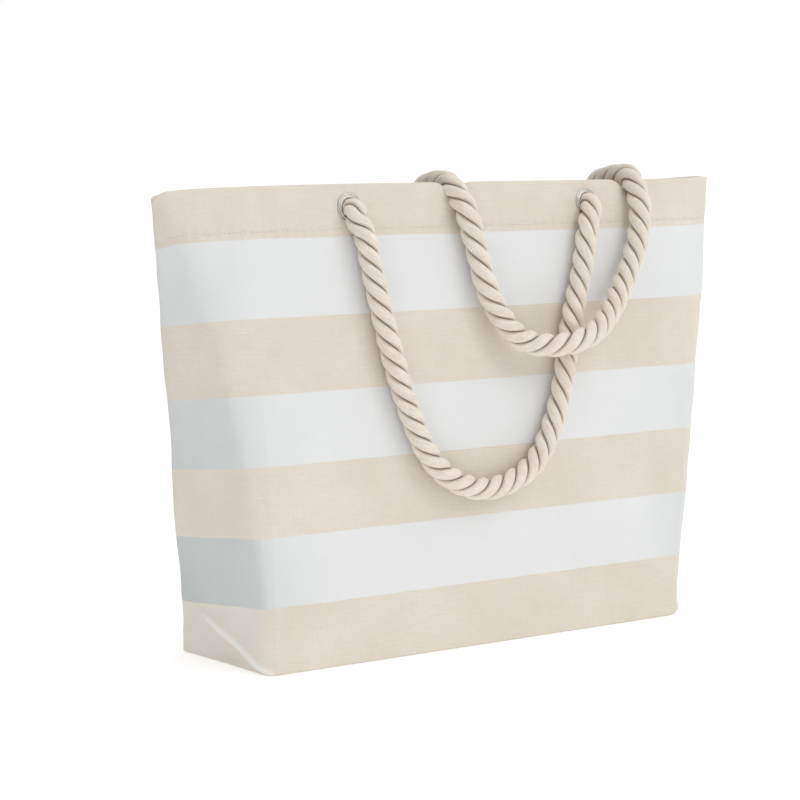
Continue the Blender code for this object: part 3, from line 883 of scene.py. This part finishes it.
def laid_rope(path, radii, seed, lay=LAY):
    """Rings of a laid rope: points, coordinates on their strand, and how deep in a groove each is."""
    side, other = cross_directions(path)
    run = run_along(path)[:, None]
    count = STRANDS * STRAND_SIDES
    around = np.arange(count) / count * 2 * math.pi
    strand = 2 * math.pi / STRANDS
    local = ((around + strand / 2) % strand - strand / 2) / (strand / 2)
    rng = np.random.default_rng(seed)
    drift = np.zeros(run.shape)
    for _ in range(4):
        wave = rng.uniform(0.05, 0.16)
        drift += 0.10 * np.sin(2 * math.pi * run / wave + rng.uniform(0, 6.28))
    groove = 1 - (1 - np.abs(local) ** 2.1) ** 0.6
    crown = 1 - np.abs(local) ** 4
    slant = local * 3.2 - run / YARN_PITCH + 0.3 * np.sin(run / 0.013)
    yarns = 0.5 + 0.5 * np.cos(2 * math.pi * slant)
    reach = 1 - GROOVE_DEPTH * groove - YARN_DEPTH * yarns**2 * crown
    lumps = 1 + 0.012 * np.sin(run / 0.017 + 3 * around) * crown
    reach = reach * lumps * radii[:, None]
    angle = around - 2 * math.pi * run / lay + drift
    points = (
        path[:, None]
        + side[:, None] * (reach * np.cos(angle))[:, :, None]
        + other[:, None] * (reach * np.sin(angle))[:, :, None]
    )
    strand_of = np.floor((around + strand / 2) / strand) % STRANDS
    uv = np.zeros((len(path), count, 2))
    uv[:, :, 0] = local * 0.5 + strand_of * 3.7
    uv[:, :, 1] = run
    return points, uv, np.broadcast_to(groove, reach.shape)


def rope_piece(name, data, first, last):
    """A closed length of rope between two of its rings, in its own material."""
    points, uv, groove = (array[first : last + 1] for array in data)
    rings, count = groove.shape
    item = outward(make_object(name, points.reshape(-1, 3), tube_faces(rings, count)))
    set_uv(item, "lay", uv.reshape(-1, 2))
    set_value(item, "groove", groove.reshape(-1))
    item.data.materials.append(ROPE)
    return item


def hanging_points(loop, axis_y, radius, crossing):
    """The loop's (x, z) path laid against the front panel; crossing lifts it over the front rope."""
    flat = resampled(catmull([(x, 0.0, z) for x, z in loop]), 0.006)
    rest = radius + ROPE_CLEARANCE
    (first_x, top), (last_x, _) = loop[0], loop[-1]
    result = []
    for x, _, z in flat:
        settled = 1 - math.exp(-max(top - z, 0.0) / EASE)
        end_x = first_x if x < (first_x + last_x) / 2 else last_x
        stand_off = face_y(end_x, min(top, HEIGHT), FRONT) - axis_y - rest
        lift = stand_off * (1 - settled)
        if crossing:
            nearness = math.exp(-(((x - CROSSING_X) / CROSSING_WIDTH) ** 2))
            lift += (FRONT_ROPE + REAR_ROPE + ROPE_CLEARANCE) * nearness * settled
        run = MOUTH_WIDTH / 2 + x
        relief = cloth_relief(x, z, run, MOUTH_WIDTH, FRONT)
        face = face_y(x, min(z, HEIGHT), FRONT)
        result.append((x, face - rest - lift - max(float(relief), 0.0), z))
    return np.array(result)


def squeezed_radii(path, radius, places):
    """The rope's radius along its path, pinched where an eyelet holds it."""
    radii = np.full(len(path), radius)
    for place in places:
        away = np.linalg.norm(path - np.array(place), axis=1)
        radii -= (radius - BARREL_BORE + 0.0001) * np.exp(-((away / SQUEEZE_WIDTH) ** 2))
    return radii


def rope_start(place, normal, aside):
    """The front rope's way out of an eyelet, turning down and a little aside."""
    down = Vector((aside, 0, -1))
    steps = ((-0.0020, 0.0), (0.0020, 0.0), (0.0060, 0.0026), (0.0086, 0.0090))
    return [tuple(place + normal * out + down * fall) for out, fall in steps]


def front_rope():
    left, left_normal = eyelet_place(FRONT, LEFT)
    right, right_normal = eyelet_place(FRONT, RIGHT)
    knuckle = left + left_normal * KNUCKLE_OFFSET
    loop = [(left.x, knuckle.z), *FRONT_LOOP, (right.x - 0.005, knuckle.z)]
    hang = hanging_points(loop, knuckle.y, FRONT_ROPE, False)
    path = rope_start(left, left_normal, 0.0)
    path += [tuple(point) for point in hang if point[2] < knuckle.z - 0.021]
    path += reversed(rope_start(right, right_normal, -0.35))
    path = softened(resampled(catmull(path), ROPE_STEP), 8)
    data = laid_rope(path, squeezed_radii(path, FRONT_ROPE, (left, right)), 4)
    rope = rope_piece("front_rope", data, 0, len(path) - 1)
    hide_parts("front_handle")
    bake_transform(rope)


def on_rear_face(x, z):
    return face_y(x, min(z + REAR_SAG, HEIGHT), REAR)


def rear_leg(end):
    """Centre points of the rear rope from its eyelet to the foot of the bend over the rim."""
    point, normal = eyelet_place(REAR, end)
    bend_x = REAR_BEND_X[0 if end == LEFT else 1]
    rest = REAR_ROPE + ROPE_CLEARANCE
    turn = REAR_ROPE + 0.0012
    sideways = Vector((1, 0, 0))
    sideways = (sideways - normal * sideways.dot(normal)).normalized()
    begin = point + normal * 0.0034
    path = [point - normal * 0.0020, point + normal * 0.0008, begin]
    centre = begin + sideways * turn
    for angle in np.linspace(0, math.pi / 2, 5)[1:]:
        path.append(centre + (normal * math.sin(angle) - sideways * math.cos(angle)) * turn)
    corner = path[-1].copy()
    foot_x = bend_x - LEG_BEND_RADIUS
    foot_z = RIM_AXIS_Z - LEG_RISE
    ease = corner.y - on_rear_face(corner.x, corner.z) - rest
    for share in np.linspace(0, 1, max(3, round((foot_x - corner.x) / 0.007)))[1:]:
        x = corner.x + (foot_x - corner.x) * share
        z = corner.z + (foot_z - corner.z) * share
        stand_off = rest + ease * math.exp(-(x - corner.x) / EASE)
        path.append(Vector((x, on_rear_face(x, z) + stand_off, z)))
    top_z = RIM_AXIS_Z - LEG_TOP
    for angle in np.linspace(0, math.pi / 2, 6)[1:]:
        x = bend_x - LEG_BEND_RADIUS * (1 - math.sin(angle))
        z = foot_z + (top_z - foot_z) * (1 - math.cos(angle))
        against = on_rear_face(x, z) + rest
        path.append(Vector((x, against + (RIM_AXIS_Y - against) * (1 - math.cos(angle)), z)))
    return [tuple(p) for p in path]


def span_points(number):
    """Over the mouth, rising from the low rear rim to the front rim."""
    bend_x, fold_x = REAR_BEND_X[number], REAR_FOLD_X[number]
    points = []
    for share, rise in zip(SPAN_SHARES, SPAN_RISES[number]):
        x = bend_x + (fold_x - bend_x) * share
        points.append((x, RIM_AXIS_Y * (1 - 2 * share), RIM_AXIS_Z + rise))
    return points


def rear_rope():
    """One rope in three pieces, cut over the middle of the mouth."""
    loop = [(REAR_FOLD_X[0], RIM_AXIS_Z), *REAR_LOOP, (REAR_FOLD_X[1], RIM_AXIS_Z)]
    hang = hanging_points(loop, -RIM_AXIS_Y, REAR_ROPE, True)
    path = rear_leg(LEFT) + span_points(0)
    path += [tuple(point) for point in hang if point[2] < RIM_AXIS_Z - LEG_TOP]
    path += list(reversed(span_points(1))) + list(reversed(rear_leg(RIGHT)))
    path = softened(resampled(catmull(path), ROPE_STEP), 30)
    ends = [eyelet_place(REAR, end)[0] for end in (LEFT, RIGHT)]
    data = laid_rope(path, squeezed_radii(path, REAR_ROPE, ends), 9)
    over = np.nonzero(np.diff(np.sign(path[:, 1])))[0]
    first, second = int(over[0]), int(over[-1])
    left = rope_piece("rear_rope_left", data, 0, first)
    loop = rope_piece("rear_rope_loop", data, first, second)
    right = rope_piece("rear_rope_right", data, second, len(path) - 1)
    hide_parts("rear_handle_left_leg")
    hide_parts("rear_handle_loop", "rear_handle_left_span", "rear_handle_right_span")
    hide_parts("rear_handle_right_leg")
    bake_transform(loop)
    for leg in (left, right):
        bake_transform(leg)


def stopper_knot(side, end, label):
    """An overhand knot pulled up tight behind the washer, with the rope's tail left showing."""
    path = []
    for t in np.linspace(-0.62, 2 * math.pi - 1.55, 120)[6:]:
        x = math.sin(t) + 2 * math.sin(2 * t)
        y = math.cos(t) - 2 * math.cos(2 * t)
        level = -math.sin(3 * t) * KNOT_RISE - KNOT_DEPTH
        path.append((x * KNOT_SPREAD, y * KNOT_SPREAD, level))
    lead = [(0.0, 0.0, 0.0012), (0.0, 0.0, -0.0025), (0.0005, 0.0003, -0.0045)]
    path = softened(resampled(catmull(lead + path, 4), ROPE_STEP), 8)
    in_bore = np.exp(-((np.abs(path[:, 2]) / 0.005) ** 2))
    in_bore = np.where(np.hypot(path[:, 0], path[:, 1]) < 0.004, in_bore, 0.0)
    radii = KNOT_ROPE + (BARREL_BORE - 0.0004 - KNOT_ROPE) * in_bore
    data = laid_rope(path, radii, 30 + side + 2 * end, lay=KNOT_LAY)
    knot = stand(rope_piece("knot_" + label, data, 0, len(path) - 1), side, end, 0.7 * end)
    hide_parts(label + "_knot")
    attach(knot, "bag")


# ---- materials


class Graph:
    """A small wrapper that adds shader nodes and links them in one call."""

    def __init__(self, name):
        self.material = bpy.data.materials.new(name)
        self.material.use_nodes = True
        self.tree = self.material.node_tree
        self.shader = self.tree.nodes["Principled BSDF"]

    def plug(self, socket, value):
        if isinstance(value, bpy.types.NodeSocket):
            self.tree.links.new(value, socket)
        else:
            socket.default_value = value

    def node(self, kind, settings=(), **inputs):
        made = self.tree.nodes.new(kind)
        for key, value in dict(settings).items():
            setattr(made, key, value)
        for key, value in inputs.items():
            numbered = key[0] == "i" and key[1:].isdigit()
            self.plug(made.inputs[int(key[1:]) if numbered else key], value)
        return made

    def look(self, tone, roughness, specular=None, sheen=None):
        """Sets colour and roughness, and where given specular level and (weight, roughness) of sheen."""
        settings = {"Base Color": tone, "Roughness": roughness}
        if specular is not None:
            settings["Specular IOR Level"] = specular
        if sheen is not None:
            settings["Sheen Weight"], settings["Sheen Roughness"] = sheen
        for name, value in settings.items():
            self.plug(self.shader.inputs[name], value)

    def bump(self, height, strength, distance):
        made = self.node("ShaderNodeBump", Strength=strength, Distance=distance, Height=height)
        self.plug(self.shader.inputs["Normal"], made.outputs[0])

    def value(self, name):
        return self.node("ShaderNodeAttribute", {"attribute_name": name}).outputs["Fac"]

    def place(self):
        return self.node("ShaderNodeTexCoord").outputs["Object"]

    def uv(self, name):
        """A UV layer's place, and its two coordinates apart."""
        whole = self.node("ShaderNodeUVMap", {"uv_map": name}).outputs[0]
        split = self.node("ShaderNodeSeparateXYZ", i0=whole)
        return whole, split.outputs[0], split.outputs[1]

    def product(self, *factors):
        result = factors[0]
        for factor in factors[1:]:
            result = self.math("MULTIPLY", result, factor)
        return result

    def math(self, operation, a, b=0.0, c=0.0):
        return self.node("ShaderNodeMath", {"operation": operation}, i0=a, i1=b, i2=c).outputs[0]

    def mix(self, factor, a, b):
        made = self.node("ShaderNodeMix", {"data_type": "RGBA"})
        self.plug(made.inputs["Factor"], factor)
        self.plug(made.inputs[6], a)
        self.plug(made.inputs[7], b)
        return made.outputs[2]

    def layer(self, tone, mask, low, high, strength, tint):
        """Mixes a tint over the tone, from none where the mask is low to strength where it is high."""
        return self.mix(self.ramp(mask, low, high, 0.0, strength), tone, colour(*tint))

    def noise(self, vector, scale, detail=3.0, roughness=0.55):
        settings = {"Vector": vector, "Scale": scale, "Detail": detail, "Roughness": roughness}
        return self.node("ShaderNodeTexNoise", **settings).outputs["Fac"]

    def stretched(self, vector, x, y, z=1.0):
        made = self.node("ShaderNodeVectorMath", {"operation": "MULTIPLY"}, i0=vector, i1=(x, y, z))
        return made.outputs[0]

    def ramp(self, factor, low, high, start=0.0, end=1.0):
        made = self.node("ShaderNodeMapRange", i0=factor, i1=low, i2=high, i3=start, i4=end)
        return made.outputs[0]


def colour(red, green, blue):
    return (red, green, blue, 1.0)


def bands(g, cloth, v):
    """1 in the white bands and 0 in the natural ones, with an edge that wavers by a thread or so."""
    waver = g.math("SUBTRACT", g.noise(g.stretched(cloth, 900.0, 40.0), 1.0), 0.5)
    level = g.math("MULTIPLY_ADD", waver, BAND_WAVER, v)
    white = 0.0
    for number, edge in enumerate(BAND_LEVELS):
        step = g.ramp(level, edge - BAND_SOFTNESS, edge + BAND_SOFTNESS)
        white = g.math("MULTIPLY_ADD", step, 1.0 if number % 2 == 0 else -1.0, white)
    return white


def canvas_material(name, striped):
    """Plain-woven canvas with slubs; striped canvas has its white bands by height along the cloth."""
    g = Graph(name)
    cloth, u, v = g.uv("cloth")
    blotch = g.noise(cloth, 14.0, 4.0)
    fine_blotch = g.noise(cloth, 55.0, 3.0)
    grain = g.noise(cloth, 380.0, 3.0, 0.7)
    weft = g.noise(g.stretched(cloth, 44.0, 820.0), 1.0, 2.0, 0.6)
    warp = g.noise(g.stretched(cloth, 820.0, 60.0), 1.0, 2.0, 0.6)
    slub = g.ramp(g.noise(g.stretched(cloth, 60.0, 1100.0), 1.0, 1.0), 0.66, 0.80)
    turn = 2 * math.pi / THREAD_PITCH
    weave = g.product(g.math("SINE", g.product(u, turn)), g.math("SINE", g.product(v, turn)))
    natural = g.mix(g.ramp(blotch, 0.35, 0.65), colour(0.755, 0.700, 0.600), colour(0.865, 0.812, 0.725))
    natural = g.layer(natural, fine_blotch, 0.35, 0.65, 0.55, (0.80, 0.740, 0.625))
    natural = g.layer(natural, grain, 0.35, 0.65, 0.22, (0.70, 0.635, 0.535))
    natural = g.layer(natural, weft, 0.3, 0.7, 0.32, (0.68, 0.605, 0.495))
    natural = g.layer(natural, warp, 0.35, 0.75, 0.18, (0.66, 0.585, 0.475))
    natural = g.mix(g.product(slub, 0.5), natural, colour(0.91, 0.86, 0.77))
    tone = natural
    if striped:
        white = g.mix(g.ramp(blotch, 0.3, 0.7), colour(0.803, 0.811, 0.815), colour(0.838, 0.844, 0.847))
        white = g.layer(white, weft, 0.3, 0.7, 0.12, (0.765, 0.775, 0.78))
        facing = g.node("ShaderNodeSeparateXYZ", i0=g.node("ShaderNodeNewGeometry").outputs["Normal"])
        sideways = g.product(facing.outputs[0], facing.outputs[0])
        low = g.ramp(v, 0.34, 0.02, 0.10, 0.95)
        # Painted shade: the white bands turn grey round the folded ends, more toward the base
        white = g.mix(g.product(g.value("ends"), low), white, colour(0.608, 0.650, 0.640))
        # Painted light: the natural bands turn paler where the wall faces sideways, more toward the base
        natural = g.mix(g.product(sideways, low, low, 0.8), natural, colour(0.95, 0.91, 0.83))
        tone = g.mix(bands(g, cloth, v), natural, white)
        # Painted highlight along the corner fold's ridge
        tone = g.mix(g.value("fold_highlight"), tone, colour(1.0, 0.99, 0.965))
        # Painted light: the inside of the wall, hem facing included, glows a little in its own colour
        through = g.product(g.ramp(v, HEIGHT, HEIGHT + 0.004), INSIDE_GLOW)
        g.plug(g.shader.inputs["Emission Color"], tone)
        g.plug(g.shader.inputs["Emission Strength"], through)
    g.look(tone, 0.93, 0.18, (0.12, 0.6))
    relief = g.math("MULTIPLY_ADD", weave, 0.30, g.product(weft, 1.1))
    relief = g.math("MULTIPLY_ADD", warp, 0.5, relief)
    g.bump(g.math("MULTIPLY_ADD", slub, 0.7, relief), 0.55, 0.00022)
    return g.material


def thread_material():
    g = Graph("cotton_thread")
    fibre = g.noise(g.stretched(g.place(), 900.0, 900.0, 900.0), 1.0, 2.0)
    g.look(g.mix(g.ramp(fibre, 0.3, 0.7), colour(0.78, 0.72, 0.62), colour(0.90, 0.86, 0.79)), 0.7)
    g.bump(fibre, 0.4, 0.0001)
    return g.material


def rope_material():
    """Soft-laid natural cotton: pale crowns, painted brown shade in the grooves, fibres along the
    strands.
    """
    g = Graph("laid_cotton")
    _, across, along = g.uv("lay")
    place = g.place()
    slant = g.math("MULTIPLY_ADD", along, 1 / YARN_PITCH, g.product(across, 6.4))
    yarn = g.math("SINE", g.product(slant, 4 * math.pi))
    lean = g.math("MULTIPLY_ADD", along, 40.0, g.product(across, 15.0))
    fibre_place = g.node("ShaderNodeCombineXYZ", i0=lean, i1=g.product(along, 75.0))
    fibre = g.noise(fibre_place.outputs[0], 1.0, 4.0, 0.65)
    fuzz = g.noise(place, 850.0, 3.0, 0.7)
    blotch = g.noise(place, 110.0, 3.0)
    tone = g.mix(g.ramp(blotch, 0.3, 0.7), colour(0.945, 0.860, 0.735), colour(1.0, 0.950, 0.845))
    tone = g.layer(tone, fibre, 0.42, 0.70, 0.50, (0.71, 0.58, 0.46))
    tone = g.layer(tone, fuzz, 0.50, 0.70, 0.40, (0.62, 0.49, 0.37))
    # Painted shade: darker brown deep in the grooves between the strands
    tone = g.layer(tone, g.value("groove"), 0.26, 0.85, 0.92, (0.31, 0.22, 0.145))
    g.look(tone, 0.95, 0.12, (0.25, 0.7))
    relief = g.math("MULTIPLY_ADD", yarn, 0.25, g.product(fibre, 1.2))
    g.bump(g.math("MULTIPLY_ADD", fuzz, 0.5, relief), 0.75, 0.00055)
    return g.material


def metal_material():
    """Satin nickel with fine turned lines and light wear."""
    g = Graph("satin_nickel")
    place = g.place()
    wear = g.noise(place, 220.0, 4.0)
    tone = g.mix(g.ramp(wear, 0.35, 0.7), colour(0.66, 0.64, 0.59), colour(0.52, 0.50, 0.45))
    g.look(tone, g.ramp(wear, 0.3, 0.7, 0.34, 0.50))
    g.shader.inputs["Metallic"].default_value = 1.0
    g.bump(g.noise(g.stretched(place, 2400.0, 300.0, 2400.0), 1.0, 2.0), 0.12, 0.0001)
    return g.material


def floor_material():
    """Pale paint that glows a little, more so to the camera, as a studio sweep does when lit."""
    g = Graph("floor_paint")
    grey = g.mix(g.noise(g.place(), 3.0), colour(0.93, 0.93, 0.93), colour(0.95, 0.95, 0.95))
    g.look(grey, 0.8, 0.1)
    g.shader.inputs["Emission Color"].default_value = colour(1.0, 1.0, 1.0)
    seen = g.node("ShaderNodeLightPath").outputs["Is Camera Ray"]
    glow = g.math("MULTIPLY_ADD", seen, FLOOR_GLOW_SEEN, FLOOR_GLOW)
    g.plug(g.shader.inputs["Emission Strength"], glow)
    return g.material


STRIPED = canvas_material("striped_canvas", True)
PLAIN = canvas_material("plain_canvas", False)
THREAD = thread_material()
ROPE = rope_material()
METAL = metal_material()


def dress(item, material, slot, *replaced):
    """Material and the CAD nodes that this piece of the bag stands for; slot is not used."""
    item.data.materials.append(material)
    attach(item, "bag")
    if replaced:
        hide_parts(*replaced)


# ---- the bag


def build_canvas():
    for side, label in ((FRONT, "front"), (REAR, "rear")):
        wall = canvas_wall(side, label)
        dress(wall, STRIPED, "natural_canvas", label + "_panel", label + "_hem_facing")
        dress(hem_stitching(side, label), THREAD, "hem_thread", label + "_hem_stitching")
    dress(canvas_base(), PLAIN, "natural_canvas", "base_panel")
    for end, label in ((LEFT, "left"), (RIGHT, "right")):
        for kind, seam in (("_side_seam", side_seam), ("_corner_seam", corner_seam)):
            strip, thread = seam(end, label)
            dress(strip, PLAIN, "seam_tape", label + kind)
            dress(thread, THREAD, "hem_thread")


def build_eyelets():
    for (side, end), label in CORNERS.items():
        for kind, made in (("eyelet", eyelet), ("washer", washer)):
            ring = stand(made(kind + "_" + label), side, end)
            dress(ring, METAL, "eyelet_metal", label + "_" + kind)
        stopper_knot(side, end, label)


# ---- studio

# The photo's camera, as fitted to it with the bag's outline: angles in radians
CAMERA_LENS = 130.9
CAMERA_SENSOR = 36.0
CAMERA_DISTANCE = 2.3302
CAMERA_TARGET = (-0.04874, 0.0, 0.19434)
CAMERA_YAW = 0.70409
CAMERA_PITCH = 0.12375
CAMERA_ROLL = 0.02524

# Sky: white to the camera, brighter overhead and to the right for everything else
SKY_LEAN = (0.36, -0.10, 0.86)
SKY_LEVEL = 0.24
FLOOR_HALF = 8
FLOOR_Z = -0.0002
FLOOR_GLOW = 0.20
FLOOR_GLOW_SEEN = 0.14

# Soft lights: name, place, aim, size of the square panel, power
LIGHTS = (
    ("key", (0.75, -1.5, 1.95), (0.0, 0.0, 0.2), 1.3, 9.0),
    ("side", (-2.1, -1.1, 0.9), (-0.2, 0.0, 0.15), 0.5, 5.0),
)


def area_light(name, location, target, size, power):
    light = bpy.data.lights.new(name, "AREA")
    light.shape = "SQUARE"
    light.size = size
    light.energy = power
    item = bpy.data.objects.new(name, light)
    item.location = location
    item.rotation_euler = (Vector(target) - Vector(location)).to_track_quat("-Z", "Y").to_euler()
    bpy.context.scene.collection.objects.link(item)


def build_floor():
    corners = ((-1, -1), (1, -1), (1, 1), (-1, 1))
    spots = [(FLOOR_HALF * x, FLOOR_HALF * y, FLOOR_Z) for x, y in corners]
    floor = make_object("floor", spots, [(0, 1, 2, 3)])
    floor.data.materials.append(floor_material())


def build_sky():
    world = bpy.data.worlds.new("studio_sky")
    bpy.context.scene.world = world
    world.use_nodes = True
    nodes = world.node_tree.nodes
    link = world.node_tree.links.new
    lean = nodes.new("ShaderNodeVectorMath")
    lean.operation = "DOT_PRODUCT"
    lean.inputs[1].default_value = SKY_LEAN
    link(nodes.new("ShaderNodeTexCoord").outputs["Generated"], lean.inputs[0])
    strength = nodes.new("ShaderNodeMath")
    strength.inputs[1].default_value = SKY_LEVEL
    link(lean.outputs["Value"], strength.inputs[0])
    pick = nodes.new("ShaderNodeMix")
    pick.inputs[3].default_value = 1.0
    link(nodes.new("ShaderNodeLightPath").outputs["Is Camera Ray"], pick.inputs["Factor"])
    link(strength.outputs[0], pick.inputs[2])
    sky = nodes["Background"]
    sky.inputs["Color"].default_value = colour(1.0, 1.0, 1.0)
    link(pick.outputs[0], sky.inputs["Strength"])


def build_camera():
    camera = bpy.data.cameras.new("camera")
    camera.lens = CAMERA_LENS
    camera.sensor_width = CAMERA_SENSOR
    camera.clip_start = 0.05
    camera.clip_end = 60.0
    item = bpy.data.objects.new("camera", camera)
    bpy.context.scene.collection.objects.link(item)
    level = math.cos(CAMERA_PITCH)
    away = (-math.sin(CAMERA_YAW) * level, -math.cos(CAMERA_YAW) * level, math.sin(CAMERA_PITCH))
    back = Vector(away)
    right = (-back).cross(Vector((0, 0, 1))).normalized()
    up = right.cross(-back)
    rolled_right = right * math.cos(CAMERA_ROLL) + up * math.sin(CAMERA_ROLL)
    rolled_up = up * math.cos(CAMERA_ROLL) - right * math.sin(CAMERA_ROLL)
    turn = Matrix((rolled_right, rolled_up, back)).transposed().to_4x4()
    item.matrix_world = Matrix.Translation(Vector(CAMERA_TARGET) + back * CAMERA_DISTANCE) @ turn
    bpy.context.scene.camera = item
    bpy.context.scene.view_settings.view_transform = "Standard"


def build_studio():
    build_floor()
    build_sky()
    for settings in LIGHTS:
        area_light(*settings)
    build_camera()


build_canvas()
build_eyelets()
front_rope()
rear_rope()
build_studio()
